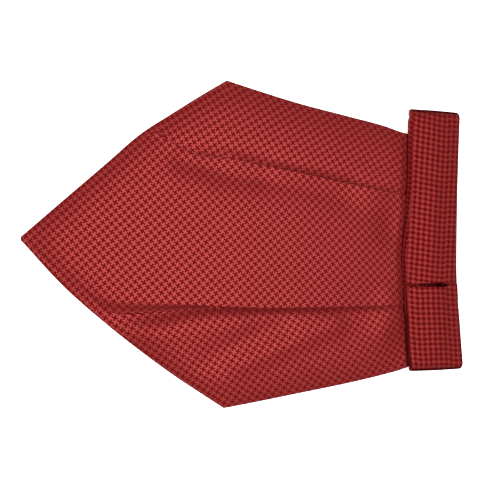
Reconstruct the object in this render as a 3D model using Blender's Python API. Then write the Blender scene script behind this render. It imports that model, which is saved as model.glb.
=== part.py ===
"""A pleated dress cravat lying flat.

One pointed blade with two pleats is sewn to a narrow neckband, which is folded up on the blade's end.
X runs along the cravat from the tip to the neckband, Y across it, and Z up from the table.
All sizes below are in millimetres, and the meshes are written in metres.
"""

import math
from collections import namedtuple

import bmesh
import bpy
import numpy as np

MM = 0.001

# The whole cravat.
LENGTH = 226.2
TIP_X = -LENGTH / 2
GAP = 0.3

# The blade's cloth: one wall that is thin in the pleats and fuller where it lies single. It rises from its
# four free edges over these widths, and its end falls towards the neckband's edge, where it is sewn in.
WALL = 1.0
BODY = 2.4
FULLEST_WALL = 3.0
POINTED_ROLL = 15.0
LONG_ROLL = 19.0
EDGE_ROUND = 2.5
BLADE_END = 197.5
SEAM_LEAD = 3.8
SEAM_RUN = 4.0
SEAM_PRESSED = 0.92

# A pleat is three layers: its two turns have this mid-line radius.
TURN_RADIUS = (WALL + GAP) / 2
PLEAT_ROLL = 9.5
ROLL_FALL = 6.0
ROLL_FLAT = 8.0
CREASE_RISE = 6.0
OPEN_TURN = 60.0
TURN_STEPS = 4
TUCK_STEPS = 2

# Where the blade's free edges lie, by distance from the tip. Each pointed edge ends where a long one
# meets it.
Edge = namedtuple("Edge", "along upper lower")
POINTED_EDGES = (
    Edge(0.0, 3.6, 2.0),
    Edge(17.3, 18.9, -17.4),
    Edge(39.5, 38.4, -37.7),
    Edge(54.6, 51.8, -50.0),
    Edge(70.1, 62.3, -61.8),
    Edge(86.0, 72.6, -72.8),
    Edge(102.0, 82.4, -83.6),
)
LONG_EDGES = (
    Edge(94.0, 80.9, -80.1),
    Edge(110.5, 76.6, -78.0),
    Edge(135.8, 70.4, -74.5),
    Edge(162.0, 65.2, -70.8),
    Edge(184.6, 60.5, -66.9),
    Edge(192.6, 58.2, -65.0),
    Edge(BLADE_END, 57.2, -62.8),
)

# Each pleat's fold line, how far its turns close, how deep its middle layer is tucked, and the width over
# which the roll on it falls to the blade's middle.
Pleat = namedtuple("Pleat", "along line turn tuck fall")
UPPER_PLEAT = (
    Pleat(0.0, 3.3, 0, 0.6, 9),
    Pleat(17.3, 16.6, 0, 0.6, 9),
    Pleat(39.5, 35.6, 0, 0.6, 9),
    Pleat(54.0, 49.8, 0, 0.6, 9),
    Pleat(60.6, 53.2, 1, 0.6, 9),
    Pleat(70.0, 48.8, 3, 0.6, 9),
    Pleat(79.3, 45.0, 8, 0.6, 9),
    Pleat(88.0, 43.4, 15, 0.6, 9),
    Pleat(96.0, 42.5, 30, 0.3, 9),
    Pleat(104.0, 41.6, 70, 0.2, 10),
    Pleat(114.3, 40.2, 150, 0.4, 10),
    Pleat(130.0, 37.5, 180, 3.0, 10),
    Pleat(165.0, 31.0, 180, 6.0, 12),
    Pleat(BLADE_END, 25.0, 180, 7.0, 14),
)
LOWER_PLEAT = (
    Pleat(0.0, 2.3, 0, 0.6, 12),
    Pleat(17.3, -11.6, 0, 0.6, 12),
    Pleat(31.0, -23.0, 0, 0.6, 12),
    Pleat(37.0, -28.0, 8, 0.6, 12),
    Pleat(43.0, -29.8, 20, 0.6, 14),
    Pleat(52.0, -30.6, 28, 0.6, 16),
    Pleat(62.0, -30.6, 34, 0.6, 18),
    Pleat(71.0, -30.4, 40, 0.6, 20),
    Pleat(79.0, -30.1, 60, 0.2, 20),
    Pleat(87.0, -30.2, 100, 0.2, 20),
    Pleat(96.0, -30.6, 150, 0.4, 20),
    Pleat(113.6, -31.6, 180, 3.0, 20),
    Pleat(150.2, -32.0, 180, 6.0, 18),
    Pleat(BLADE_END, -31.8, 180, 7.0, 14),
)

# Soft ridges and troughs in the blade: the two ends of the crest, by distance from the tip and
# place across, its half width and its height.
Fold = namedtuple("Fold", "along1 y1 along2 y2 width height")
SOFT_FOLDS = (
    Fold(60, -44, 104, -39, 5.5, 0.35),
    Fold(104, -58, 154, -41, 5.5, 0.8),
    Fold(182, -30, 178, -45, 4.0, 0.9),
    Fold(189, -40, 187.5, -54, 4.0, -0.8),
    Fold(189, 34, 188, 54, 9.0, 0.5),
    Fold(183, 17, 180.5, -3, 5.5, -0.9),
    Fold(76, 40, 92, 37, 6.3, -0.95),
    Fold(97, 36, 122, 33, 6.5, -0.9),
    Fold(126, 32.5, 166, 26.5, 6.0, -0.5),
)

# The neckband: a flat strap. Its folded stack is this high, and its two showing stretches lie on top.
STRAP_WALL = 2.2
STACK_TOP = 4.4
STACK_LAYERS = 3
STACK_GROOVE = 0.5
STRAP_BOTTOM = STACK_TOP + GAP
STRAP_TOP = STRAP_BOTTOM + STRAP_WALL
STRAP_CROWN = 0.25
STRAP_EDGE_DROP = 0.7
END_RADIUS = 3.6
UPPER_END = 70.1
LOWER_END = -66.0
SLIT = -20.9
LIP = -21.4
TONGUE_END = -27.0
TONGUE_TOP = 5.7
MOUTH_LEFT = 196.8
MOUTH_RIGHT = 215.8
MOUTH_BLEND = 2.0
MOUTH_WIDE = 208.0
MOUTH_UP = 0.8
MOUTH_DOWN = 1.0
DIVE_RUN = 0.4
LIP_RISE = 0.5

# The strap's two long edges, by their distances from the blade's tip, and how far its right edge lies
# off square.
RIM = 0.2
Side = namedtuple("Side", "y left right skew")
STRAP_SIDES = (
    Side(LOWER_END, 196.2, LENGTH - RIM, 0.2),
    Side(-55.4, 195.2, LENGTH - 0.9 - RIM, 0.0),
    Side(-38.9, 194.1, 223.7, 0.0),
    Side(-27.1, 193.0, 222.6, 0.0),
    Side(-13.3, 192.7, 222.0, 0.0),
    Side(-6.1, 192.4, 222.0, 0.0),
    Side(3.6, 192.9, 222.1, 0.0),
    Side(16.5, 194.1, 222.3, -0.1),
    Side(26.7, 194.9, 222.5, -0.3),
    Side(50.9, 195.2, 223.3, -0.6),
    Side(UPPER_END, 195.6, 224.0, -0.9),
)

# What lies folded under the upper stretch prints through it as a soft raised rectangle.
Patch = namedtuple("Patch", "left right bottom top soft height")
PRINT_THROUGH = Patch(199.4, 213.0, -12.4, 33.0, 3.5, 0.25)

# The blade ends against the stack's left side. Its corners, by distance from the tip and place across.
STACK_LEFT = BLADE_END + GAP
END_CLEAR = STRAP_WALL + GAP
Corner = namedtuple("Corner", "along y")
STACK_CORNERS = (
    Corner(STACK_LEFT, LOWER_END + END_CLEAR),
    Corner(224.0, LOWER_END + END_CLEAR + 0.2),
    Corner(221.4, SLIT),
    Corner(223.0, UPPER_END - END_CLEAR - 0.9),
    Corner(197.2, UPPER_END - END_CLEAR - 0.1),
    Corner(STACK_LEFT, 56.0),
)
STACK_CORNER_RADIUS = 3.0
# Where the strap turns down to the table, its left edge leans in by this much.
END_LEAN = 2.0

Finish = namedtuple("Finish", "color roughness")
SILK = Finish((0.30, 0.028, 0.028), 0.5)
BAND_SILK = Finish((0.24, 0.018, 0.020), 0.5)
TUCKED_SILK = Finish((0.18, 0.012, 0.014), 0.6)


def smoothstep(t):
    t = np.clip(t, 0.0, 1.0)
    return t * t * (3 - 2 * t)


def smooth_curve(rows, name, at, by="along"):
    """One column of a table at a place between its rows, on a smooth curve through them."""
    x = np.array([getattr(row, by) for row in rows])
    y = np.array([getattr(row, name) for row in rows])
    slope = np.gradient(y, x)
    at = float(np.clip(at, x[0], x[-1]))
    i = int(np.clip(np.searchsorted(x, at) - 1, 0, len(x) - 2))
    span = x[i + 1] - x[i]
    t = (at - x[i]) / span
    start = (2 * t**3 - 3 * t**2 + 1) * y[i] + (t**3 - 2 * t**2 + t) * span * slope[i]
    end = (3 * t**2 - 2 * t**3) * y[i + 1] + (t**3 - t**2) * span * slope[i + 1]
    return float(start + end)


def straight_curve(rows, name, at, by="along"):
    """The same, on straight lines from row to row."""
    return float(np.interp(at, [getattr(r, by) for r in rows], [getattr(r, name) for r in rows]))


def blade_edge(name, along):
    """A free edge: the pointed one or the long one, whichever lies further in."""
    pointed = smooth_curve(POINTED_EDGES, name, along)
    long = smooth_curve(LONG_EDGES, name, along)
    return min(pointed, long) if name == "upper" else max(pointed, long)


def corner_along(name):
    """Where a pointed edge and a long edge meet."""
    def apart(place):
        return abs(smooth_curve(POINTED_EDGES, name, place) - smooth_curve(LONG_EDGES, name, place))

    places = np.linspace(LONG_EDGES[0].along, POINTED_EDGES[-1].along, 800)
    return float(min(places, key=apart))


CORNERS = {name: corner_along(name) for name in ("upper", "lower")}


def edge_lines(steps=48):
    """The four free edges as polylines, each with the width over which it rounds off."""
    lines = []
    for name, corner in CORNERS.items():
        for roll, places in ((POINTED_ROLL, np.linspace(0.0, corner, steps)),
                             (LONG_ROLL, np.linspace(corner, BLADE_END, steps))):
            lines.append((roll, np.array([(place, blade_edge(name, place)) for place in places])))
    return lines


FREE_EDGES = edge_lines()


def inside_share(along, y):
    """How far the blade's round edges have risen at a point: 0 to 1."""
    share = 1.0
    for roll, line in FREE_EDGES:
        start, run = line[:-1], np.diff(line, axis=0)
        t = ((along - start[:, 0]) * run[:, 0] + (y - start[:, 1]) * run[:, 1]) / (run**2).sum(axis=1)
        near = start + np.clip(t, 0, 1)[:, None] * run
        away = float(np.hypot(along - near[:, 0], y - near[:, 1]).min())
        share *= 1 - (1 - min(1.0, away / roll)) ** EDGE_ROUND
    return share


def soft_fold(fold, along, y):
    """The height that one ridge or trough adds at a point."""
    run = (fold.along2 - fold.along1, fold.y2 - fold.y1)
    t = ((along - fold.along1) * run[0] + (y - fold.y1) * run[1]) / (run[0] ** 2 + run[1] ** 2)
    t = min(max(t, 0.0), 1.0)
    away = math.hypot(along - fold.along1 - t * run[0], y - fold.y1 - t * run[1])
    return fold.height * math.exp(-((away / fold.width) ** 2))


def top_height(along, y):
    """The height of the blade's upper face where it lies in a single layer."""
    sewn = float(smoothstep((along - smooth_curve(STRAP_SIDES, "left", y, "y") + SEAM_LEAD) / SEAM_RUN))
    height = BODY - WALL + sum(soft_fold(fold, along, y) for fold in SOFT_FOLDS)
    return WALL + max(0.0, height) * inside_share(along, y) * (1 - SEAM_PRESSED * sewn)


def pleat_midline(turn, tuck, scale):
    """A pleat's mid-line from its top layer to its bottom layer: places outward and up, and headings."""
    arc = math.pi * TURN_RADIUS * scale
    step = turn / TURN_STEPS
    chord = arc / TURN_STEPS
    if turn > 0:
        chord = 2 * (arc / turn) * math.sin(step / 2)
    points = [(0.0, 0.0, 0.0)]

    def go(length, bend):
        out, up, heading = points[-1]
        mean = heading + bend / 2
        points.append((out + length * math.cos(mean), up + length * math.sin(mean), heading + bend))

    for _ in range(TURN_STEPS):
        go(chord, -step)
    for _ in range(TUCK_STEPS):
        go(tuck * scale / TUCK_STEPS, 0.0)
    for _ in range(TURN_STEPS):
        go(chord, step)
    return points


def spread(start, end, near, far, middle):
    """Places from start to end: some at set distances from each, and evenly spaced ones between."""
    width = end - start
    scale = min(1.0, abs(width) / (near[-1] + far[0] + 2.0))
    first = start + np.sign(width) * scale * np.array(near)
    last = end - np.sign(width) * scale * np.array(far)
    between = np.linspace(first[-1], last[0], middle + 2)[1:-1]
    return np.concatenate([[start], first, between, last, [end]])


def half_section(along, side, middle):
    """The wall from the blade's middle out to one free edge: pairs of an upper and a lower point."""
    name, rows = ("upper", UPPER_PLEAT) if side > 0 else ("lower", LOWER_PLEAT)
    edge = side * blade_edge(name, along)
    line = side * smooth_curve(rows, "line", along)
    turn = math.radians(max(0.0, straight_curve(rows, "turn", along)))
    tuck = straight_curve(rows, "tuck", along)
    top_fall = straight_curve(rows, "fall", along)
    scale = min(1.0, (edge - side * middle) / 30.0)
    folded = float(smoothstep(math.degrees(turn) / OPEN_TURN))
    wall = WALL * folded + top_height(along, side * line) * (1 - folded)

    pleat = pleat_midline(turn, tuck, scale)
    drop = -pleat[-1][1]
    shift = line - scale * wall / 2 - max(out for out, _, _ in pleat)
    layer = wall / 2 + drop
    pairs = []

    for out in spread(side * middle, shift, (6.0,), (15.0, 11.5, 8.5, 6.0, 3.0), 1)[:-1]:
        fallen = float(smoothstep((line - out - ROLL_FLAT * scale) / (top_fall * scale)))
        lowered = float(smoothstep((line - out - PLEAT_ROLL * scale) / (ROLL_FALL * scale)))
        single = top_height(along, side * out)
        top = (layer + wall / 2) * (1 - fallen) + single * fallen
        bottom = max(drop * (1 - lowered), top - FULLEST_WALL)
        pairs.append(((out, top), (out, bottom)))

    for out, up, heading in pleat:
        across, rise = -math.sin(heading) * wall / 2, math.cos(heading) * wall / 2
        place = (shift + out, layer + up)
        pairs.append(((place[0] + across, place[1] + rise), (place[0] - across, place[1] - rise)))

    start = shift + pleat[-1][0]
    clear = max(start, line + GAP) if turn > math.pi / 2 else start
    lap = max(clear - start, 0.6 * scale)
    rise_to = (lap, lap + 2.2, lap + CREASE_RISE)
    for out in spread(start, edge - 0.25 * scale, rise_to, (6.5, 3.4, 1.2), 1)[1:]:
        rise = float(smoothstep((out - clear) / (CREASE_RISE * scale)))
        single = top_height(along, side * out)
        top = wall * (1 - rise) + single * rise
        bottom = max(0.0, top - FULLEST_WALL)
        pairs.append(((out, top), (out, bottom)))

    rim = (edge, pairs[-1][0][1] / 2)
    return [((side * a, b), (side * c, d)) for (a, b), (c, d) in pairs], (side * rim[0], rim[1])


def blade_section(along):
    """The closed ring of the blade at one place: its upper points, a rim, its lower points, a rim."""
    upper_line = smooth_curve(UPPER_PLEAT, "line", along)
    lower_line = smooth_curve(LOWER_PLEAT, "line", along)
    middle = (upper_line + lower_line) / 2
    right, right_rim = half_section(along, 1, middle)
    left, left_rim = half_section(along, -1, middle)
    pairs = left[::-1] + right[1:]
    x = TIP_X + along
    above = [(x, y, z) for (y, z), _ in pairs]
    below = [(x, y, z) for _, (y, z) in pairs]
    return above + [(x, *right_rim)] + below[::-1] + [(x, *left_rim)]


def finish_mesh(name, mesh, finish, smooth_angle):
    mesh.normal_update()
    bmesh.ops.recalc_face_normals(mesh, faces=mesh.faces)
    data = bpy.data.meshes.new(name)
    mesh.to_mesh(data)
    mesh.free()
    material = bpy.data.materials.new(name)
    material.use_nodes = True
    shader = material.node_tree.nodes["Principled BSDF"]
    shader.inputs["Base Color"].default_value = (*finish.color, 1.0)
    shader.inputs["Roughness"].default_value = finish.roughness
    shader.inputs["Metallic"].default_value = 0.0
    data.materials.append(material)
    data.shade_smooth()
    data.set_sharp_from_angle(angle=math.radians(smooth_angle))
    piece = bpy.data.objects.new(name, data)
    bpy.context.scene.collection.objects.link(piece)
    return piece


def loft(name, rings, finish, smooth_angle=50, paired_caps=True):
    """A closed solid through rings of the same number of points."""
    mesh = bmesh.new()
    rows = [[mesh.verts.new(np.array(p) * MM) for p in ring] for ring in rings]
    count = len(rows[0])
    for row, after in zip(rows, rows[1:]):
        for i in range(count):
            j = (i + 1) % count
            mesh.faces.new((row[i], row[j], after[j], after[i]))
    for row in (rows[0], rows[-1]):
        if paired_caps:
            close_wall(mesh, row)
        else:
            mesh.faces.new(row)
    return finish_mesh(name, mesh, finish, smooth_angle)


def close_wall(mesh, ring):
    """Closes a wall's end with a strip of faces from its upper points to its lower ones."""
    pairs = len(ring) // 2 - 1
    above, rim, other = ring[:pairs], ring[pairs], ring[-1]
    below = ring[pairs + 1 : -1][::-1]
    for i in range(pairs - 1):
        mesh.faces.new((above[i], above[i + 1], below[i + 1], below[i]))
    mesh.faces.new((above[-1], rim, below[-1]))
    mesh.faces.new((above[0], below[0], other))


def blade_stations():
    """Where the blade's rings stand: closer at the tip, the pleats' starts, the corners and the seam."""
    tip = (0.0, 2.0, 5.5, 10.0, 15.5, 21.5, 28.0, 33.0)
    opening = np.arange(37.5, 94.0, 4.6)
    corner = [CORNERS["upper"], CORNERS["lower"]]
    long = np.linspace(104.0, 184.0, 15)
    seam = (187.0, 189.5, 191.5, 193.5, 195.5, BLADE_END)
    return sorted([*tip, *opening, *corner, *long, *seam])


def make_blade():
    return loft("blade", [blade_section(along) for along in blade_stations()], SILK)


def mouth(along):
    """1 where the slit stands open, 0 at the strap's two edges."""
    left = smoothstep((along - MOUTH_LEFT + MOUTH_BLEND / 2) / MOUTH_BLEND)
    right = smoothstep((MOUTH_RIGHT + MOUTH_BLEND / 2 - along) / MOUTH_BLEND)
    return float(left * right * (0.75 + 0.25 * smoothstep((along - MOUTH_WIDE) / MOUTH_BLEND)))


def printed(along, y):
    """How far what lies beneath lifts the upper stretch."""
    p = PRINT_THROUGH
    across = smoothstep((along - p.left) / p.soft) * smoothstep((p.right - along) / p.soft)
    down = smoothstep((y - p.bottom) / p.soft) * smoothstep((p.top - y) / p.soft)
    return float(p.height * across * down)


def strap_profile(part):
    """The strap's upper face across its width: a low crown that drops at both edges."""
    edge = min(part, 1 - part)
    return STRAP_CROWN * (1 - (2 * part - 1) ** 2) - STRAP_EDGE_DROP * (1 - float(smoothstep(edge / 0.09)))


STRAP_PARTS = (0.0, 0.02, 0.06, 0.12, 0.21, 0.28, 0.36, 0.5, 0.62, 0.68, 0.75, 0.84, 0.92, 0.97, 1.0)


def strap_ring(y, faces):
    """One ring across the strap. faces(along, y, part) gives the heights of its upper and lower face."""
    left = smooth_curve(STRAP_SIDES, "left", y, "y")
    right = smooth_curve(STRAP_SIDES, "right", y, "y")
    skew = smooth_curve(STRAP_SIDES, "skew", y, "y")
    above, below = [], []
    for part in STRAP_PARTS:
        along = left + (right - left) * part
        top, bottom = faces(along, y, part)
        place = y + skew * part
        above.append((TIP_X + along, place, top))
        below.append((TIP_X + along, place, bottom))
    right_rim = (TIP_X + right + RIM, y + skew, (above[-1][2] + below[-1][2]) / 2)
    left_rim = (TIP_X + left - RIM, y, (above[0][2] + below[0][2]) / 2)
    below[0] = (below[0][0] + RIM, *below[0][1:])
    below[-1] = (below[-1][0] - RIM, *below[-1][1:])
    return above + [right_rim] + below[::-1] + [left_rim]


def end_fold_rings(end, faces):
    """The rings round the strap's end fold, where it turns down past the stack to the table."""
    side = 1 if end > 0 else -1
    centre_y = end - side * END_RADIUS
    base = strap_ring(centre_y, faces)
    pivot = STRAP_TOP - END_RADIUS
    rings = []
    for angle in (0, 25, 50, 72, 90):
        turn = math.radians(angle)
        ring = []
        for x, y, z in base:
            out = z - pivot
            ring.append((x, y + side * out * math.sin(turn), pivot + out * math.cos(turn)))
        rings.append(ring)
    upright = rings[-1]
    for height in (1.6, 0.0):
        rings.append([(x, y, height + (z - pivot) * (height / pivot)) for x, y, z in upright])
    return [[lean_in(point) for point in ring] for ring in rings]


def lean_in(point):
    """The end fold's left side goes in as it goes down."""
    x, y, z = point
    right = TIP_X + LENGTH
    down = min(1.0, max(0.0, 1 - z / STRAP_BOTTOM))
    return x + END_LEAN * down * (right - x) / (LENGTH - STACK_LEFT), y, z


def upper_faces(along, y, part):
    plain = STRAP_TOP + strap_profile(part)
    start = SLIT + 0.1 + MOUTH_UP * mouth(along)
    dive = float(smoothstep((start - y) / DIVE_RUN))
    top = (plain + printed(along, y)) * (1 - dive) + TONGUE_TOP * dive
    return top, STRAP_BOTTOM


def lower_faces(along, y, part):
    from_lip = LIP - y
    lifted = LIP_RISE * (0.5 + mouth(along)) * math.exp(-from_lip / 14.0)
    top = STRAP_TOP + strap_profile(part) + lifted
    over_tongue = 1 - float(smoothstep((from_lip - (LIP - TONGUE_END) - GAP) / 3.0))
    bottom = STRAP_BOTTOM + (TONGUE_TOP + GAP - STRAP_BOTTOM) * over_tongue
    return top, bottom


def make_upper_stretch():
    tongue = (TONGUE_END, -24.0, SLIT - GAP, -20.9, -20.6, -20.3, -20.0, -19.7, -19.3, -18.2, -15.5)
    run = (-12.4, -10.4, -5.0, 1.0, 8.0, 16.0, 24.0, 31.0, 33.0, 38.0, 45.0, 52.0, 59.0)
    rings = [strap_ring(y, upper_faces) for y in (*tongue, *run)]
    rings += end_fold_rings(UPPER_END, upper_faces)
    return loft("neckband_upper", rings, BAND_SILK)


def make_lower_stretch():
    run = (LIP, LIP - 0.8, -24.0, -27.3, -30.6, -34.0, -40.0, -46.0, -52.0, -57.0)
    rings = [strap_ring(y, lower_faces) for y in run]
    rings += end_fold_rings(LOWER_END, lower_faces)
    return loft("neckband_lower", [[pull_lip(point) for point in ring] for ring in rings], BAND_SILK)


def pull_lip(point):
    """The lower stretch's folded edge is drawn back where the slit stands open."""
    x, y, z = point
    return x, y - MOUTH_DOWN * mouth(x - TIP_X) * math.exp(min(0.0, y - LIP) / 4.0), z


def inset_corners(corners, inset):
    """A polygon's corners, moved in by the same distance from each side."""
    moved = []
    for i, here in enumerate(corners):
        before, after = np.array(corners[i - 1]), np.array(corners[(i + 1) % len(corners)])
        here = np.array(here)
        into, out = here - before, after - here
        into, out = into / np.linalg.norm(into), out / np.linalg.norm(out)
        normals = np.array([(-into[1], into[0]), (-out[1], out[0])])
        moved.append(here + np.linalg.solve(normals, (inset, inset)) if abs(np.cross(into, out)) > 1e-6
                     else here + inset * normals[0])
    return moved


def rounded_outline(corners, radius, steps=4):
    """A polygon with its corners rounded."""
    outline = []
    for i, here in enumerate(corners):
        before, after = corners[i - 1], corners[(i + 1) % len(corners)]
        back = (before - here) / np.linalg.norm(before - here)
        on = (after - here) / np.linalg.norm(after - here)
        start, stop = here + back * radius, here + on * radius
        for t in np.linspace(0, 1, steps + 1):
            outline.append((1 - t) ** 2 * start + 2 * t * (1 - t) * here + t**2 * stop)
    return outline


def make_stack():
    """The hidden layers, one solid whose sides are grooved between the layers."""
    pitch = STACK_TOP / STACK_LAYERS
    levels = [(pitch * (k + part), inset) for k in range(STACK_LAYERS)
              for part, inset in ((0.0, STACK_GROOVE), (0.22, 0.1), (0.5, 0.0), (0.78, 0.1))]
    levels.append((STACK_TOP, STACK_GROOVE))
    rings = []
    for height, inset in levels:
        corners = inset_corners([(TIP_X + corner.along, corner.y) for corner in STACK_CORNERS], inset)
        rings.append([(x, y, height) for x, y in rounded_outline(corners, STACK_CORNER_RADIUS)])
    return loft("neckband_folds", rings, TUCKED_SILK, smooth_angle=40, paired_caps=False)


def main():
    for thing in list(bpy.data.objects):
        bpy.data.objects.remove(thing)
    make_blade()
    make_stack()
    make_upper_stretch()
    make_lower_stretch()


main()
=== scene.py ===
import math
from collections import namedtuple

import bmesh
import bpy
import numpy as np
from bpy.props import FloatProperty, FloatVectorProperty, PointerProperty
from bpy.types import Operator, Panel, PropertyGroup
from mathutils import Matrix, Vector


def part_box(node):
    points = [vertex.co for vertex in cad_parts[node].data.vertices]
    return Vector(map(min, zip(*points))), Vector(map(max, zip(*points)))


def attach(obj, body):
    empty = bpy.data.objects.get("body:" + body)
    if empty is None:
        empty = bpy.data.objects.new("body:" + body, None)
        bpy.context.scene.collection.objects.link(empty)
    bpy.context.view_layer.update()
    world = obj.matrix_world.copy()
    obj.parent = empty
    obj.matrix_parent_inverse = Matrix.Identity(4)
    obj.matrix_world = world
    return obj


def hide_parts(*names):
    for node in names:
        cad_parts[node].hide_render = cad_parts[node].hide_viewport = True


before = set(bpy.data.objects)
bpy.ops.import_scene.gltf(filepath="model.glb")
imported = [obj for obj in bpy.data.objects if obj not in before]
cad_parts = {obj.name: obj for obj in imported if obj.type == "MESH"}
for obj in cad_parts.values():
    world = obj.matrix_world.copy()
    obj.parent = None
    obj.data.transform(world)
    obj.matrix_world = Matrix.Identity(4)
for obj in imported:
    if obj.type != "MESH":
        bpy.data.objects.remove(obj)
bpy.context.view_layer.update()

bl_info = {
    "name": "Pleated Silk Cravat",
    "version": (1, 0, 0),
    "blender": (4, 5, 0),
    "location": "3D View > Sidebar > Cravat",
    "description": "Lays silk cloth on the solids of a pleated dress cravat, on a pale studio floor",
    "category": "Object",
}

MM = 0.001


def table(kind, *rows):
    return [kind(*row) for row in rows]


# The tables below are in millimetres. "along" runs from the blade's tip to the neckband.
TIP_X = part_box("blade")[0].x / MM
WALL = 1.0
GAP = 0.3
# The blade's body over its wall, and how its edges round off.
BODY = 2.4
POINTED_ROLL = 15.0
LONG_ROLL = 19.0
EDGE_ROUND = 2.5
# Towards its sewn end the blade is pressed flatter, and most of all at the seam.
BLADE_END = 197.5
PRESSED_FROM = 163.0
PRESSED = 0.1
FOLDS_PRESSED = 0.5
SEAM_LEAD = 3.8
SEAM_RUN = 4.0
SEAM_PRESSED = 0.8
# The folded cloth: its thickness, a roll's rim, its points' shortest step and how low it may sink.
FOLDED_CLOTH = 0.5
RIM_WIDTH = 2.2
FINEST = 0.02
LOWEST = 0.5
# A pleat turned by less than this, in degrees, follows the blade's face. Over so much more it closes.
STILL_OPEN = 30.0
CLOSING_TURN = 150.0
# Where half the blade is narrower than this its rolls shrink, and a hem fills at most a share.
FULL_WIDTH = 30.0
EDGE_CLEAR = 1.5
HEM_SHARE = 0.97

Edge = namedtuple("Edge", "along upper lower")
POINTED_EDGES = table(
    Edge,
    (0, 3.6, 2), (17.3, 18.9, -17.4), (39.5, 38.4, -37.7), (54.6, 51.8, -50),
    (70.1, 62.3, -61.8), (86, 72.6, -72.8), (102, 82.4, -83.6),
)
LONG_EDGES = table(
    Edge,
    (94, 80.9, -80.1), (110.5, 76.6, -78), (135.8, 70.4, -74.5), (162, 65.2, -70.8),
    (184.6, 60.5, -66.9), (192.6, 58.2, -65.2), (BLADE_END, 57.2, -63.6),
)

# Each pleat's fold line, how far the side panel lies below it there, how deep the middle layer is tucked in
# and how round the turns are at least.
Pleat = namedtuple("Pleat", "along line drop tuck round")
UPPER_PLEAT = table(
    Pleat,
    (0, 3.3, 0, 0, 0.3),
    (17.3, 16.6, 0, 0, 0.3),
    (39.5, 35.6, 0, 0, 0.3),
    (54, 49.8, 0, 0, 0.3),
    (60.6, 53.2, 0.02, 0, 0.3),
    (70, 48.8, 0.06, 0, 0.3),
    (79.3, 45, 0.15, 0, 0.3),
    (88, 43.4, 0.2, 0, 0.3),
    (96, 42.5, 0.6, 0, 0.25),
    (104, 41.5, 1, 0, 0.15),
    (114.3, 39.4, 1.25, 1.7, 0.15),
    (130, 36.9, 1.2, 2.8, 0.15),
    (165, 30.5, 1.2, 5.2, 0.15),
    (BLADE_END, 25, 0.8, 7, 0.15),
)
LOWER_PLEAT = table(
    Pleat,
    (0, 2.3, 0, 0, 12),
    (17.3, -11.6, 0, 0, 12),
    (31, -23, 0.2, 0, 12),
    (37, -28, 0.6, 0, 12),
    (43, -29.8, 1, 0, 11),
    (52, -30.6, 1.2, 0, 8),
    (62, -30.6, 1.3, 0, 5),
    (71, -30.4, 1.35, 0, 3),
    (79, -30.1, 1.35, 0, 1.5),
    (87, -30.2, 1.5, 0, 0.8),
    (96, -30.6, 1.65, 1.2, 0.3),
    (113.6, -31.6, 1.75, 3, 0.3),
    (150.2, -32, 1.7, 5.4, 0.3),
    (BLADE_END, -31.8, 0.8, 7, 0.2),
)
# The roll over each pleat: how far it stands over the plain face, and its rim over it; how far it lies flat
# from the line and over how much it falls to the middle panel; over how much the side panel rises; and the
# depth and half width of its trough along the line.
Roll = namedtuple("Roll", "along high rim flat fall rise dip trough")
UPPER_ROLL = table(
    Roll,
    (52, 0, 0, 2, 9, 10, 0, 0.8),
    (58, 0, 0.2, 2, 9, 10, 0, 0.8),
    (72, 0.12, 0.25, 2, 9, 10, 0, 0.8),
    (88, 0.32, 0.25, 2, 9, 8, 0.1, 0.8),
    (104, 0.32, 0.2, 2, 9, 5, 0, 0.8),
    (115, 0.3, 0.2, 2, 10, 4.5, 0, 0.8),
    (150, 0.22, 0.15, 2, 12, 5, 0.1, 0.8),
    (186, 0.35, 0.1, 2, 14, 6, 0.1, 0.8),
    (BLADE_END, 0.15, 0, 2, 14, 6, 0, 0.8),
)
LOWER_ROLL = table(
    Roll,
    (37, 0, 0, 0, 12, 22, 0.2, 4),
    (45, 0.2, 0, 0, 16, 11, 0.6, 5),
    (55, 0.42, 0, 0, 20, 9, 1, 4.8),
    (66, 0.5, 0, 1, 24, 9, 1.05, 4),
    (78, 0.55, 0, 1, 26, 9, 0.9, 2.8),
    (92, 0.6, 0, 1, 26, 7, 0.8, 2),
    (115, 0.65, 0, 1, 26, 6, 0.7, 1.6),
    (150, 0.7, 0, 1, 26, 6, 0.6, 1.4),
    (172, 0.6, 0, 1, 22, 6, 0.5, 1.3),
    (186, 0.35, 0, 1, 16, 6, 0.2, 1),
    (BLADE_END, 0.15, 0, 1, 14, 6, 0, 1),
)

# Ridges and troughs in the blade: the two ends of the crest, its half width and its height.
Fold = namedtuple("Fold", "along1 y1 along2 y2 width height")
SOFT_FOLDS = table(
    Fold,
    (60, -44, 104, -39, 5.5, 0.35),
    (104, -58, 154, -41, 5.5, 0.8),
    (186.5, -29, 183.5, -43, 7.5, 1.3),
    (196, -57, 194, -68, 12, -2.4),
    (189, 34, 188, 54, 9, 0.5),
    (187.5, 20, 186.5, 7, 7.5, -1.3),
    (86, -57, 126, -40, 6, -0.5),
    (76, 41, 84, 40, 6.5, -1.15),
    (95.5, 38.2, 116, 35.8, 9, -1.45),
    (131, 34, 160, 28, 8.5, -0.85),
)

# The points along the blade, closest at its tip and its seam.
TIP_STATIONS = 30
TIP_SHARE = 0.12
MAIN_STATIONS = 104
MAIN_SHARE = 0.125
SEAM_STATIONS = 16
SEAM_FROM = 188.0
# The points across a panel, round a pleat's turn, in its tuck, round an edge and in the hem.
PANEL_POINTS = 30
HIDDEN_POINTS = 6
TURN_STEPS = 8
TUCK_STEPS = 3
EDGE_STEPS = 6
HEM_STEPS = 5
HEM_FLOOR = 0.02
# The points round the strap, in its end folds and up the stack's layers.
STRAP_ACROSS = 44
STRAP_EDGE_STEPS = 8
STRAP_BACK_STEPS = 14
END_TURN_STEPS = 12
END_HEIGHTS = (2.4, 1.6, 0.8, HEM_FLOOR)
LAYER_STEPS = 8
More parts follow.
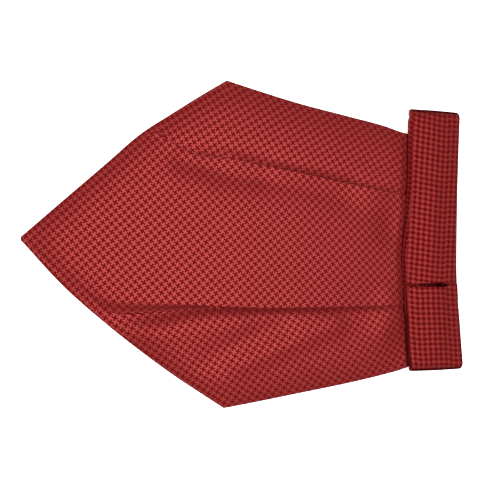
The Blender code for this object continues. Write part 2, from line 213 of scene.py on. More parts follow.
# How strongly points crowd towards a panel's ends.
PANEL_CROWDING = 1.6
SIDE_CROWDING = 1.8
STRAP_CROWDING = 1.9

# Faces that stand up, by their normals and places, take another silk of their piece's list: painted shade
# and light.
STEEP = 0.5
LEFT_STEEP = 0.8
NOT_LEFT = 0.3
RIM_STEEP = 0.85
SHADED_BELOW = -36.0
BLADE_PAINTED_SHADE = 2
BAND_SLIT_SHADE = 2
BAND_PAINTED_LIGHT = 3
BAND_RIM_SHADE = 4
BAND_SHADED = 5

# The grain of the blade's middle panel: the headings of the check's rows and columns, in degrees from +X.
ROW_HEADING = 223.7
COLUMN_HEADING = -48.2
# Each side panel's grain is turned about the place where its pleat begins.
PanelGrain = namedtuple("PanelGrain", "along y turn_near turn_far settle")
UPPER_GRAIN = PanelGrain(56, 51.5, -11, -11, 18)
LOWER_GRAIN = PanelGrain(40, -29, 10.5, 13.5, 18)

# The blade's two halves. From its last place on, a half's side panel rises steeply beside the pleat.
STEEPER_RUN = 20.0
Half = namedtuple("Half", "side name pleat roll grain steeper_from")
UPPER_HALF = Half(1, "upper", UPPER_PLEAT, UPPER_ROLL, UPPER_GRAIN, 88.0)
LOWER_HALF = Half(-1, "lower", LOWER_PLEAT, LOWER_ROLL, LOWER_GRAIN, 60.0)

# The neckband: a flat strap, folded on a stack of its own hidden layers.
STRAP_WALL = 2.2
STACK_TOP = 4.4
STACK_LAYERS = 3
STACK_INSET = 0.02
GROOVE_DEPTH = 0.55
GROOVE_ROUND = 1.5
STRAP_BOTTOM = STACK_TOP + GAP
FACE_SUNK = 0.3
STRAP_TOP = STRAP_BOTTOM + STRAP_WALL - FACE_SUNK
STRAP_CROWN = 0.5
STRAP_EDGE_DROP = 0.2
STRAP_EDGE = 0.05
END_RADIUS = 3.6
UPPER_END = 70.1
LOWER_END = -66.0
# The upper stretch dives in the slit and goes on as a tongue under the lower one's lip.
SLIT = -20.9
DIVE_LEAD = 0.1
DIVE_RUN = 0.25
TONGUE_END = -27.0
TONGUE_TOP = 5.7
TONGUE_BELOW = 0.9
TONGUE_FADE = 3.0
LIP = -21.4
LIP_RISE = 0.5
LIP_RISE_ENDS = 0.5
LIP_FADE = 14.0
LIP_CURL = (80, 60, 40, 20)
LIP_BULGE = 0.35
LIP_PULL = 4.0
LIP_THINNEST = 0.6
# The slit's mouth stands open between two places, and widest past a third.
MOUTH_LEFT = 196.8
MOUTH_RIGHT = 215.8
MOUTH_WIDE = 208.0
MOUTH_BLEND = 2.0
MOUTH_NARROW = 0.75
MOUTH_UP = 0.8
MOUTH_DOWN = 1.0
MOUTH_DEPTH = 0.6
MOUTH_MARGIN = 1.0
MOUTH_SUNK = 0.8
# The strap's rims, how low the left one hangs, and how the face falls towards them.
LENGTH = 226.2
RIM = 1.0
LEFT_RIM = 1.2
LEFT_END_RIM = 0.3
LEFT_LOW = 1.1
LEFT_HIGHER = 0.4
LEFT_END_LOW = 3.05
LEFT_FALL = 1.3
LEFT_FALL_POWER = 1.2
RIGHT_FALL = 0.5
UNDER_RISE = 2.0
WALL_BLEND = 3.0
END_BLEND = 8.0
END_CROWN = 0.2
Side = namedtuple("Side", "y left right skew")
STRAP_SIDES = table(
    Side,
    (LOWER_END, 196, LENGTH, 0.2), (-55.4, 195, LENGTH - 0.9, 0),
    (-38.9, 194.1, 223.9, 0), (-27.1, 193.3, 222.8, 0),
    (-13.3, 192.5, 222.2, 0), (-6.1, 192.2, 222.2, 0),
    (3.6, 192.9, 222.3, 0), (16.5, 194.2, 222.5, -0.1),
    (26.7, 194.9, 222.7, -0.3), (50.9, 195.5, 223.5, -0.6),
    (UPPER_END, 195.7, 224.2, -0.9),
)
Patch = namedtuple("Patch", "left right bottom top soft height")
PRINT_THROUGH = Patch(199.4, 213, -12.4, 33, 3.5, 0.25)
STACK_LEFT = BLADE_END + GAP
END_CLEAR = STRAP_WALL + GAP
END_LEAN = 1.4
STACK_CORNER_RADIUS = 3.0
# The outline of the hidden layers, as places along and across.
STACK_CORNERS = (
    (STACK_LEFT, LOWER_END + END_CLEAR),
    (224, LOWER_END + END_CLEAR + 0.2),
    (221.4, SLIT),
    (223, UPPER_END - END_CLEAR - 0.9),
    (197.2, UPPER_END - END_CLEAR - 0.1),
    (STACK_LEFT, 56),
)

# The places of the strap's rings, closest at the slit.
Run = namedtuple("Run", "start stop rings")
UPPER_RUNS = table(
    Run,
    (TONGUE_END, -23.0, 3),
    (SLIT - 0.8, SLIT + 1.3, 22),
    (SLIT + 2.2, UPPER_END - END_RADIUS - 0.8, 96),
)
LOWER_RUNS = table(Run, (LIP, LIP - 1.6, 8), (LIP - 2.2, LOWER_END + END_RADIUS + 0.8, 48))

# How the neckband's check rows slope, in degrees, by place across. Its columns lean and are shifted.
RowSlope = namedtuple("RowSlope", "y slope")
UPPER_ROWS = table(RowSlope, (-25, -4), (-5, -4.8), (14, -5.6), (38, -6), (60, -6.2), (80, -6.2))
LOWER_ROWS = table(RowSlope, (-80, -2.6), (-45, -3.2), (-21, -3.7))
UPPER_LEAN = 3.2
LOWER_LEAN = -3.6
UPPER_SHIFT = 0.65
LOWER_SHIFT = 1.45

# The silk: its yarns, its ragged stars, how yarns and dye vary, and its ribs' height in metres.
YARNS_PER_REPEAT = 8
RAGGED = 2.4
STREAK_SCALE = 2.7
STREAK_DEPTH = 0.34
CLOUD_SCALE = 0.12
CLOUD_DEPTH = 0.1
REVERSE_BLEED = 0.2
RIB_STRENGTH = 0.3
RIB_HEIGHT = 0.00003
DARK_ROUGHNESS = 0.95
SPECULAR = 0.7
SHEEN = 0.03
# On the pressed band the stars are even, soft squares.
PRESSED_STARS = {"hooks": 0.25, "crisp": 0.62, "even": 1.0}

# The stage, in metres: the floor's card, and each lamp's size, place and aim.
FLOOR_HALF = 1.6
FLOOR_BELOW = 0.0002
CARD_GLOW = 0.8
TOOTH_SCALE = 900.0
TOOTH_DEPTH = 0.02
Lamp = namedtuple("Lamp", "name size place aim")
KEY_LAMP = Lamp("key", 0.36, Vector((0.2, -0.03, 1.15)), Vector((-0.02, 0, 0)))
FILL_LAMP = Lamp("fill", 0.4, Vector((-0.9, 0, 0.36)), Vector((0.1, 0, 0)))

# The camera looks at this point from this far, so high above the floor, from the tip's side.
CAMERA_TARGET = Vector((-0.0083, 0.0021, 0.0))
CAMERA_DISTANCE = 0.45
CAMERA_ELEVATION = math.radians(72)
CAMERA_FIELD = 0.2352
SENSOR = 36.0


def smoothstep(t):
    t = np.clip(t, 0.0, 1.0)
    return t * t * (3 - 2 * t)


def blend(start, stop, share):
    return start + (stop - start) * share


def travelled(steps, axis=0):
    """How far along a path its points lie, from the steps between them."""
    return np.insert(np.cumsum(steps, axis=axis), 0, 0.0, axis=axis)


def smooth_curve(rows, name, at, by="along"):
    """One column of a table at places between its rows, on a smooth curve through them."""
    x = np.array([getattr(row, by) for row in rows])
    y = np.array([getattr(row, name) for row in rows])
    slope = np.gradient(y, x)
    at = np.clip(at, x[0], x[-1])
    i = np.clip(np.searchsorted(x, at) - 1, 0, len(x) - 2)
    span = x[i + 1] - x[i]
    t = (at - x[i]) / span
    start = (2 * t**3 - 3 * t**2 + 1) * y[i] + (t**3 - 2 * t**2 + t) * span * slope[i]
    end = (3 * t**2 - 2 * t**3) * y[i + 1] + (t**3 - t**2) * span * slope[i + 1]
    return start + end


def straight_curve(rows, name, at, by="along"):
    return np.interp(at, [getattr(r, by) for r in rows], [getattr(r, name) for r in rows])


def blade_edge(name, along):
    """A free edge: the pointed one or the long one, whichever lies further in."""
    pointed = smooth_curve(POINTED_EDGES, name, along)
    long = smooth_curve(LONG_EDGES, name, along)
    return min(pointed, long) if name == "upper" else max(pointed, long)


def corner_along(name):
    """Where a pointed edge and a long edge meet."""
    places = np.linspace(LONG_EDGES[0].along, POINTED_EDGES[-1].along, 800)
    apart = smooth_curve(POINTED_EDGES, name, places) - smooth_curve(LONG_EDGES, name, places)
    return float(places[np.abs(apart).argmin()])


CORNERS = {name: corner_along(name) for name in ("upper", "lower")}


def strap_side(name, y):
    return smooth_curve(STRAP_SIDES, name, y, "y")


def edge_lines(steps=48):
    """The blade's four free edges as polylines, each with the width over which it rounds off."""
    lines = []
    for name, corner in CORNERS.items():
        for roll, start, stop in ((POINTED_ROLL, 0.0, corner), (LONG_ROLL, corner, BLADE_END)):
            places = np.linspace(start, stop, steps)
            lines.append((roll, np.array([(place, blade_edge(name, place)) for place in places])))
    return lines


FREE_EDGES = edge_lines()


def distance(along, y, start, run):
    """How far places lie from a straight stretch with this start and run."""
    off_x, off_y = along - start[0], y - start[1]
    t = np.clip((off_x * run[0] + off_y * run[1]) / (run[0] ** 2 + run[1] ** 2), 0, 1)
    return np.hypot(off_x - t * run[0], off_y - t * run[1])


def inside_share(along, y):
    """How far the blade's round edges have risen, 0 to 1, at points at one place along it."""
    share = np.ones(y.shape)
    for roll, line in FREE_EDGES:
        away = distance(along, y[:, None], line[:-1].T, np.diff(line, axis=0).T).min(axis=1)
        share *= 1 - (1 - np.clip(away / roll, 0, 1)) ** EDGE_ROUND
    return share


def soft_folds(along, y):
    """The height that the blade's ridges and troughs add at points."""
    height = np.zeros(np.shape(y))
    for fold in SOFT_FOLDS:
        run = (fold.along2 - fold.along1, fold.y2 - fold.y1)
        away = distance(along, y, (fold.along1, fold.y1), run)
        height += fold.height * np.exp(-((away / fold.width) ** 2))
    return height


def top_height(along, y):
    """The height of the blade's face where it lies in a single layer."""
    y = np.atleast_1d(y)
    pressed = smoothstep((along - PRESSED_FROM) / (BLADE_END - PRESSED_FROM))
    sewn = smoothstep((along - strap_side("left", y) + SEAM_LEAD) / SEAM_RUN)
    height = (BODY - WALL) * (1 - PRESSED * pressed)
    height = height + soft_folds(along, y) * (1 - FOLDS_PRESSED * pressed)
    return WALL + np.maximum(0.0, height) * inside_share(along, y) * (1 - SEAM_PRESSED * sewn)


def pleat_midline(turn, tuck, radius):
    """A pleat's mid-line from its top layer to its bottom one: places outward and up, and headings."""
    counts = (TURN_STEPS, TUCK_STEPS, TURN_STEPS)
    step = turn / TURN_STEPS
    chord = max(FINEST, 2 * radius * math.sin(step / 2))
    bends = np.repeat((-step, 0.0, step), counts)
    lengths = np.repeat((chord, max(FINEST, tuck / TUCK_STEPS), chord), counts)
    headings = travelled(bends)
    mean = headings[:-1] + bends / 2
    out, up = travelled(lengths * np.cos(mean)), travelled(lengths * np.sin(mean))
    return np.column_stack([out, up, headings])


def crowded(count, power):
    """Steps from 0 to 1 that crowd together at both ends."""
    t = np.linspace(-1, 1, count)
    return (np.sign(t) * (1 - (1 - np.abs(t)) ** power) + 1) / 2


def grain_point(grain, along, y):
    """Where a point of a side panel would lie if its pleat were opened."""
    far = np.clip((along - grain.along) / (BLADE_END - grain.along), 0, 1)
    settled = smoothstep((along - grain.along + grain.settle / 3) / grain.settle)
    turn = -np.radians(blend(grain.turn_near, grain.turn_far, far)) * settled
    off_x, off_y = along - grain.along, y - grain.y
    return (
        grain.along + off_x * np.cos(turn) - off_y * np.sin(turn),
        grain.y + off_x * np.sin(turn) + off_y * np.cos(turn),
    )


def pleat_at(rows, along, deepest):
    """A pleat at one place: its mid-line, its radius, and how upright and how closed it is, 0 to 1."""
    drop = min(max(0.0, smooth_curve(rows, "drop", along)), deepest)
    # The tightest pleat is two half turns, each with a quarter of the drop as its radius.
    radius = max(smooth_curve(rows, "round", along), drop / 4)
    turn = math.acos(max(-1.0, 1 - drop / (2 * radius)))
    upright = smoothstep(2 * turn / math.pi)
    closed = smoothstep((math.degrees(turn) - STILL_OPEN) / CLOSING_TURN)
    tuck = max(0.0, straight_curve(rows, "tuck", along)) * closed
    return pleat_midline(turn, tuck, radius), radius, upright, closed


def turned_under(name, along, stop, edge, top, hem_width, room):
    """The face round a free edge, from where the side panel stops, and along the hem inside it."""
    angles = np.linspace(0, math.pi, EDGE_STEPS + 1)[1:]
    edge_out = blend(stop, edge, np.sin(angles))
    edge_up = HEM_FLOOR + (top - HEM_FLOOR) / 2 * (1 + np.cos(angles))
    before, after = max(along - 1, 0), min(along + 1, BLADE_END)
    slant = abs(blade_edge(name, after) - blade_edge(name, before)) / (after - before)
    hem = min(hem_width * math.hypot(1, slant), room)
    hem_out = stop - hem * np.linspace(0, 1, HEM_STEPS + 1)[1:]
    return np.concatenate([edge_out, hem_out]), np.concatenate([edge_up, np.full(HEM_STEPS, HEM_FLOOR)])


def flat_places(half, along, across, up, pleat_count):
    """Where a half's points lie on the flat cloth, for the weave. The middle panel's places carry on round
    the roll, and the side panel's start at the crease."""
    length = travelled(np.hypot(np.diff(across), np.diff(up)))
    panel_end = PANEL_POINTS - 1
    roll_end = PANEL_POINTS + TURN_STEPS // 2
    side_start = PANEL_POINTS + pleat_count - 2
    side_end = side_start + PANEL_POINTS - 1
    flat = across.copy()
    flat[PANEL_POINTS:roll_end] = across[panel_end] + length[PANEL_POINTS:roll_end] - length[panel_end]
    flat[side_end:] = across[side_end] + length[side_end:] - length[side_end]
    flat_x, flat_y = np.full(len(flat), along), half.side * flat
    flat_x[side_start:], flat_y[side_start:] = grain_point(half.grain, along, flat_y[side_start:])
    between = slice(roll_end, side_start)
    share = (length[between] - length[roll_end - 1]) / (length[side_start] - length[roll_end - 1])
    for places in (flat_x, flat_y):
        places[between] = blend(places[roll_end - 1], places[side_start], share)
    return flat_x, flat_y


def half_path(half, along, middle, hem_width):
    """The cloth's face from the blade's middle out to one free edge and round the hem, as places across and
    up and the two flat places."""
    side = half.side
    high, rim, flat, fall, rise, dip, trough = (
        smooth_curve(half.roll, item, along) for item in Roll._fields[1:])
    middle = side * middle
    edge = side * blade_edge(half.name, along)
    scale = min(1.0, (edge - middle) / FULL_WIDTH)
    line = side * smooth_curve(half.pleat, "line", along)
    at_line = top_height(along, side * line)[0]
    roll_top = at_line + high
    pleat, radius, upright, closed = pleat_at(half.pleat, along, roll_top - LOWEST)
    low = roll_top + pleat[-1, 1]
    skin = FOLDED_CLOTH / 2
    shift = line - (skin + radius) * upright - pleat[-1, 0] / 2 * (1 - upright)
    shift = min(shift, edge - WALL - pleat[-1, 0] - EDGE_CLEAR * scale)

    def face(out):
        return top_height(along, side * out)

    def follow(out):
        return (face(out) - at_line) * (1 - closed)

    # The middle panel, up to the roll, whose rim stands up.
    panel_out = blend(middle, shift, crowded(PANEL_POINTS, PANEL_CROWDING))
    fallen = np.clip((line - panel_out - flat * scale) / (fall * scale), 0, 1)
    fallen = smoothstep(fallen) if side > 0 else 1 - (1 - fallen) ** 2
    stand = rim * (1 - smoothstep((line - panel_out) / (RIM_WIDTH * scale)))
    panel_up = (roll_top + follow(panel_out)) * (1 - fallen) + face(panel_out) * fallen + stand

    # Round the pleat. The face is on the outer side of the first turn and inside the second.
    pleat_out = shift + pleat[:, 0] - np.sin(pleat[:, 2]) * skin
    pleat_up = roll_top - skin + pleat[:, 1] + np.cos(pleat[:, 2]) * skin + follow(pleat_out)
    pleat_up += stand[-1] * np.linspace(1, 0, len(pleat_up))

    # The side panel, from under the roll to the edge.
    start = shift + pleat[-1, 0]
    clear = max(start + HIDDEN_POINTS * FINEST, line)
    stop = edge - (WALL - HEM_FLOOR) / 2 * scale
    shown = PANEL_POINTS - HIDDEN_POINTS
    outward = crowded(2 * shown - 1, SIDE_CROWDING)[:shown] * 2
    hidden_out = np.linspace(start, clear, HIDDEN_POINTS + 1)[:-1]
    side_out = np.concatenate([hidden_out, blend(clear, stop, outward)])
    risen = np.clip((side_out - clear) / (rise * scale), 0, 1)
    steepest_first = 1 - (1 - risen) ** 2
    risen = smoothstep(risen) if side > 0 else risen
    risen = blend(risen, steepest_first, smoothstep((along - half.steeper_from) / STEEPER_RUN))
    side_up = (low + follow(side_out)) * (1 - risen) + face(side_out) * risen
    side_up -= dip * np.exp(-(((side_out - clear) / (scale * trough)) ** 2))
    side_up = np.maximum(side_up, LOWEST)

    room = (stop - middle) * HEM_SHARE
    hem_out, hem_up = turned_under(half.name, along, stop, edge, side_up[-1], hem_width, room)
    across = np.concatenate([panel_out, pleat_out[1:-1], side_out, hem_out])
    up = np.concatenate([panel_up, pleat_up[1:-1], side_up, hem_up])
    return np.stack([side * across, up, *flat_places(half, along, across, up, len(pleat))])


def weave_place(x, y, repeat):
    """The check's own coordinates, in repeats, of flat places in millimetres."""
    row, column = math.radians(ROW_HEADING), math.radians(COLUMN_HEADING)
    u = (x * math.cos(row) + y * math.sin(row)) / (repeat[0] / MM)
    v = (x * math.cos(column) + y * math.sin(column)) / (repeat[1] / MM)
    return u, v


def quad_corners(grid):
    """The corners of each quad of a grid of indices or places."""
    return np.stack([grid[:-1, :-1], grid[1:, :-1], grid[1:, 1:], grid[:-1, 1:]], axis=2)


def grid_mesh(name, points, places, closed=False, cap=False):
    """A mesh of quads through rows of points, with its weave coordinates in the UV map "cloth"."""
    index = np.arange(points.shape[0] * points.shape[1]).reshape(points.shape[:2])
    cap_faces, cap_places = ([index[0].tolist()], [places[0]]) if cap else ([], [])
    if closed:
        index = np.concatenate([index, index[:, :1]], axis=1)
        onward = places[:, -1:] + (places[:, -1:] - places[:, -2:-1])
        places = np.concatenate([places, onward], axis=1)
    faces = quad_corners(index).reshape(-1, 4).tolist() + cap_faces
    corners = np.concatenate([quad_corners(places).reshape(-1, 2), *cap_places])
    mesh = bpy.data.meshes.new(name)
    mesh.from_pydata((points.reshape(-1, 3) * MM).tolist(), [], faces)
    mesh.uv_layers.new(name="cloth").uv.foreach_set("vector", corners.astype(np.float32).ravel())
    mesh.update()
    return mesh


def shade_slit_mouth(mesh):
    """Gives the faces sunk in the slit's mouth a dark silk: painted shade for the shadow inside the slit.
    """
    for polygon in mesh.polygons:
        at = polygon.center / MM
        inner = MOUTH_LEFT - MOUTH_MARGIN < at.x - TIP_X < MOUTH_RIGHT + MOUTH_MARGIN
        if inner and at.y < SLIT + 2 * MOUTH_UP and at.z < STRAP_TOP - MOUTH_SUNK:
            polygon.material_index = BAND_SLIT_SHADE


def mark_rims(mesh):
    """Gives the strap's steep left side a lighter silk, painted light, and towards the lower end a shaded
    one, painted shade; its other steep sides take a darker silk, painted shade along the rims."""
    for polygon in mesh.polygons:
        if polygon.normal.x < -LEFT_STEEP:
            bright = polygon.center.y / MM > SHADED_BELOW
            polygon.material_index = BAND_PAINTED_LIGHT if bright else BAND_SHADED
        elif polygon.normal.x > -NOT_LEFT and abs(polygon.normal.z) < RIM_STEEP:
            polygon.material_index = BAND_RIM_SHADE


def put_in_scene(name, data):
    thing = bpy.data.objects.new(name, data)
    bpy.context.scene.collection.objects.link(thing)
    return thing


def add_piece(name, mesh, materials, smooth_angle=60):
    for material in materials:
        mesh.materials.append(material)
    mesh.shade_smooth()
    mesh.set_sharp_from_angle(angle=math.radians(smooth_angle))
    return put_in_scene(name, mesh)


def thicken(piece, thickness):
    """Gives cloth its thickness behind its face; the reverse takes the second material."""
    solid = piece.modifiers.new("cloth thickness", "SOLIDIFY")
    solid.thickness = thickness
    solid.offset = -1.0
    solid.use_rim = True
    solid.material_offset = 1
    solid.material_offset_rim = 1


def blade_stations():
    """The places of the blade's cross-sections, its two corners among them."""
    quarter = np.linspace(0, 0.5 * math.pi, TIP_STATIONS)
    return np.sort(np.concatenate([
        BLADE_END * (1 - np.cos(quarter)) * TIP_SHARE,
        np.linspace(BLADE_END * MAIN_SHARE, SEAM_FROM, MAIN_STATIONS),
        np.linspace(SEAM_FROM, BLADE_END, SEAM_STATIONS + 1)[1:],
        list(CORNERS.values()),
    ]))


def blade_mesh(sizes):
    halves = (UPPER_HALF, LOWER_HALF)
    rows, places = [], []
    for along in blade_stations():
        middle = sum(smooth_curve(half.pleat, "line", along) for half in halves) / 2
        upper, lower = (half_path(half, along, middle, sizes.hem / MM) for half in halves)
        y, z, flat_x, flat_y = np.concatenate([lower[:, ::-1], upper[:, 1:]], axis=1)
        rows.append(np.stack([np.full(len(y), TIP_X + along), y, z], axis=1))
        u, v = weave_place(flat_x, flat_y, sizes.blade_repeat)
        places.append(np.stack([u, v], axis=1))
    return grid_mesh("blade_cloth", np.array(rows), np.array(places), cap=True)


def mouth(along):
    """1 where the slit stands widest open, 0 at the strap's two edges."""
    left = smoothstep((along - MOUTH_LEFT + MOUTH_BLEND / 2) / MOUTH_BLEND)
    right = smoothstep((MOUTH_RIGHT + MOUTH_BLEND / 2 - along) / MOUTH_BLEND)
    return left * right * blend(MOUTH_NARROW, 1, smoothstep((along - MOUTH_WIDE) / MOUTH_BLEND))


def printed(along, y):
    """How far what lies beneath lifts the upper stretch."""
    p = PRINT_THROUGH
    across = smoothstep((along - p.left) / p.soft) * smoothstep((p.right - along) / p.soft)
    down = smoothstep((y - p.bottom) / p.soft) * smoothstep((p.top - y) / p.soft)
    return p.height * across * down


def before_end(y, run):
    """1 along the strap, falling to 0 where an end fold begins."""
    upper = UPPER_END - END_RADIUS - y
    lower = y - LOWER_END - END_RADIUS
    return smoothstep(min(upper, lower) / run)


def strap_profile(part, y):
    """The rise of the strap's face: most in its middle, least at its left edge."""
    edge = np.minimum(part, 1 - part)
    profile = STRAP_CROWN - STRAP_EDGE_DROP * (1 - np.clip(edge / STRAP_EDGE, 0, 1)) ** 2
    profile -= LEFT_FALL * np.clip(1 - 2 * part, 0, 1) ** LEFT_FALL_POWER
    profile -= RIGHT_FALL * np.clip(2 * part - 1, 0, 1) ** 2
    return profile * blend(END_CROWN, 1, before_end(y, END_BLEND))


def upper_faces(along, y, part):
    """The upper stretch's face and underside. Past the slit its face is the tongue's."""
    plain = STRAP_TOP + strap_profile(part, y)
    open_here = mouth(along)
    dive = smoothstep((SLIT + DIVE_LEAD + MOUTH_UP * open_here - y) / DIVE_RUN)
    tongue = np.minimum(TONGUE_TOP, plain - TONGUE_BELOW) - MOUTH_DEPTH * open_here
    top = (plain + printed(along, y)) * (1 - dive) + tongue * dive
    return top, np.full(np.shape(along), STRAP_BOTTOM)


def lower_faces(along, y, part):
    """The lower stretch's face, and its underside, which clears the tongue."""
    plain = STRAP_TOP + strap_profile(part, y)
    from_lip = LIP - y
    top = plain + LIP_RISE * (LIP_RISE_ENDS + mouth(along)) * np.exp(-from_lip / LIP_FADE)
    over_tongue = 1 - smoothstep((from_lip - (LIP - TONGUE_END) - GAP) / TONGUE_FADE)
    bottom = blend(STRAP_BOTTOM, TONGUE_TOP + GAP, over_tongue)
    return top, np.minimum(bottom, plain - LIP_THINNEST)


def strap_ring(y, faces):
    """A ring round the strap: over its face, its right edge, back underneath and round its left edge."""
    left, right, skew = (strap_side(name, y) for name in ("left", "right", "skew"))
    part = crowded(STRAP_ACROSS, STRAP_CROWDING)
    top, bottom = faces(blend(left, right, part), y, part)

    # The left edge hangs low, and less so past the lip and at both ends.
    past_lip = smoothstep((LIP - y) / END_BLEND)
    from_end = before_end(y, WALL_BLEND)
    low = blend(LEFT_END_LOW, LEFT_LOW + LEFT_HIGHER * past_lip, from_end)
    reach = blend(LEFT_END_RIM, blend(LEFT_RIM, LEFT_END_RIM, past_lip), from_end)
    along = left + reach + (right - left - reach - RIM) * part
    angles = np.linspace(0, math.pi, STRAP_EDGE_STEPS + 2)[1:-1]
    right_along = along[-1] + RIM * np.sin(angles)
    right_up = blend((top[-1] + bottom[-1]) / 2, top[-1], np.cos(angles))
    left_along = along[0] - reach * np.sin(angles / 2)
    left_up = blend(low, top[0], np.cos(angles / 2))
    under = smoothstep((along - left - UNDER_RISE / 2) / UNDER_RISE)
    bottom = np.minimum(bottom, blend(low, bottom, under))
    back = np.linspace(1, 0, STRAP_BACK_STEPS)
    ring_along = np.concatenate([along, right_along, blend(along[0], along[-1], back), left_along[::-1]])
    ring_up = np.concatenate([top, right_up, np.interp(back, part, bottom), left_up[::-1]])
    ring_y = y + skew * (ring_along - left) / (right - left)
    return np.stack([TIP_X + ring_along, ring_y, ring_up], axis=1)


def lean_in(points):
    """The end fold's left side goes in as it goes down."""
    right = TIP_X + LENGTH
    down = np.clip(1 - points[:, 2] / STRAP_BOTTOM, 0, 1)
    points[:, 0] += END_LEAN * down * (right - points[:, 0]) / (LENGTH - STACK_LEFT)
    return points


def end_fold_rings(end, faces):
    """The rings round the strap's end fold, where it turns down past the stack to the table."""
    side = 1 if end > 0 else -1
    base = strap_ring(end - side * END_RADIUS, faces)
    pivot = STRAP_TOP - END_RADIUS
    out = base[:, 2] - pivot
    rings = []
    for turn in np.radians(np.linspace(0, 90, END_TURN_STEPS + 1)):
        y, up = base[:, 1] + side * out * math.sin(turn), pivot + out * math.cos(turn)
        rings.append(np.stack([base[:, 0], y, up], axis=1))
    upright = rings[-1]
    for height in END_HEIGHTS:
        ring = upright.copy()
        ring[:, 2] = height + (upright[:, 2] - pivot) * (height / pivot)
        rings.append(ring)
    return [lean_in(ring) for ring in rings]


def strap_places(rings, slopes, lean, shift, repeat):
    """A stretch's points, and the weave's coordinates there, read along its face and round its edges."""
    rings = np.array(rings)
    step, around = np.diff(rings, axis=0), np.diff(rings, axis=1)
    way = np.sign(rings[-1, 0, 1] - rings[0, 0, 1])
    place_y = rings[0, :, 1] + way * travelled(np.hypot(step[..., 1], step[..., 2]))
    place_x = rings[:, :1, 0] - TIP_X + travelled(np.hypot(around[..., 0], around[..., 2]), axis=1)
    slope = np.radians(straight_curve(slopes, "slope", place_y, by="y"))
    row = -(place_y - np.tan(slope) * (place_x - STRAP_SIDES[0].left)) / (repeat[0] / MM)
    column = place_x - shift - math.tan(math.radians(lean)) * place_y
    return rings, np.stack([row, column / (repeat[1] / MM)], axis=-1)


def strap_rings(runs, faces):
    return [strap_ring(y, faces) for run in runs for y in np.linspace(*run)]


def upper_stretch_mesh(sizes):
    rings = strap_rings(UPPER_RUNS, upper_faces) + end_fold_rings(UPPER_END, upper_faces)
    points, places = strap_places(rings, UPPER_ROWS, UPPER_LEAN, UPPER_SHIFT, sizes.band_repeat)
    return grid_mesh("band_upper_cloth", points[:, ::-1], places[:, ::-1], closed=True)


def lower_stretch_mesh(sizes):
    rings = strap_rings(LOWER_RUNS, lower_faces)
    rings = lip_rings(rings[0]) + rings + end_fold_rings(LOWER_END, lower_faces)
    for ring in rings:
        pulled = np.exp(np.minimum(0.0, ring[:, 1] - LIP) / LIP_PULL)
        ring[:, 1] -= MOUTH_DOWN * mouth(ring[:, 0] - TIP_X) * pulled
    points, places = strap_places(rings, LOWER_ROWS, LOWER_LEAN, LOWER_SHIFT, sizes.band_repeat)
    return grid_mesh("band_lower_cloth", points, places, closed=True, cap=True)


def lip_rings(lip):
    """The folded edge of the lower stretch: the ring rounds in on itself towards the slit."""
    rings = []
    middle_up = (lip[:, 2].max() + TONGUE_TOP + GAP) / 2
    for angle in np.radians(LIP_CURL):
        ring = lip.copy()
        ring[:, 1] += LIP_BULGE * math.sin(angle)
        ring[:, 2] = blend(middle_up, lip[:, 2], math.cos(angle))
        rings.append(ring)
    return rings


def inset_corners(corners, inset):
    """A polygon's corners, moved in by the same distance from each side."""
    moved = []
    for i, here in enumerate(corners):
        into, out = here - corners[i - 1], corners[(i + 1) % len(corners)] - here
        into, out = into / np.linalg.norm(into), out / np.linalg.norm(out)
        normals = np.array([(-into[1], into[0]), (-out[1], out[0])])
        moved.append(here + np.linalg.solve(normals, (inset, inset)))
    return moved


def rounded_outline(corners, radius, steps=8, side_step=2.0):
    """A polygon with its corners rounded, and points along its sides."""
    outline = []
    for i, here in enumerate(corners):
        before, after = corners[i - 1], corners[(i + 1) % len(corners)]
        back = (before - here) / np.linalg.norm(before - here)
        on = (after - here) / np.linalg.norm(after - here)
        start, stop = here + back * radius, here + on * radius
        for t in np.linspace(0, 1, steps + 1):
            outline.append((1 - t) ** 2 * start + 2 * t * (1 - t) * here + t**2 * stop)
        next_start = after - on * radius
        count = int(np.linalg.norm(next_start - stop) / side_step)
        outline += [stop + (next_start - stop) * t for t in np.linspace(0, 1, count + 2)[1:-1]]
    return np.array(outline)


def folds_mesh(sizes):
    """The hidden layers, with a rounded fold at each layer's edge and a groove between them."""
    pitch = STACK_TOP / STACK_LAYERS
    corners = np.array([(TIP_X + along, y) for along, y in STACK_CORNERS])
    outline = rounded_outline(inset_corners(corners, STACK_INSET), STACK_CORNER_RADIUS)
    to_centre = outline.mean(axis=0) - outline
    to_centre /= np.linalg.norm(to_centre, axis=1)[:, None]
    rings = []
    for layer in range(STACK_LAYERS):
        # A layer starts from the last ring of the one beneath.
        for t in np.linspace(0, math.pi, LAYER_STEPS + 1)[min(layer, 1):]:
            inset = GROOVE_DEPTH * (1 - math.sin(t)) ** GROOVE_ROUND
            height = pitch * layer + pitch * (1 - math.cos(t)) / 2
            ring = outline + to_centre * inset
            rings.append(np.column_stack([ring, np.full(len(ring), max(height, HEM_FLOOR))]))
    rings = np.array(rings)
    around = travelled(np.linalg.norm(np.diff(rings[0], axis=0), axis=1))
    v = np.tile(around / (sizes.blade_repeat[1] / MM), (len(rings), 1))
    u = rings[:, :, 2] / (sizes.blade_repeat[0] / MM)
    mesh = grid_mesh("band_folds_cloth", rings, np.stack([u, v], axis=-1), closed=True)
    close_flat(mesh, len(rings), len(outline), sizes.blade_repeat)
    return mesh


def close_flat(mesh, rows, columns, repeat):
    """Fills a ring mesh's lowest and highest ring with flat faces, with the strap's straight grain."""
    work = bmesh.new()
    work.from_mesh(mesh)
    work.verts.ensure_lookup_table()
    layer = work.loops.layers.uv["cloth"]
    low = [work.verts[i] for i in range(columns)]
    high = [work.verts[(rows - 1) * columns + i] for i in range(columns)]
    for ring in (low[::-1], high):
        face = work.faces.new(ring)
        for loop in face.loops:
            loop[layer].uv = (loop.vert.co.y / repeat[0], loop.vert.co.x / repeat[1])
    bmesh.ops.recalc_face_normals(work, faces=work.faces)
    work.to_mesh(mesh)
    work.free()


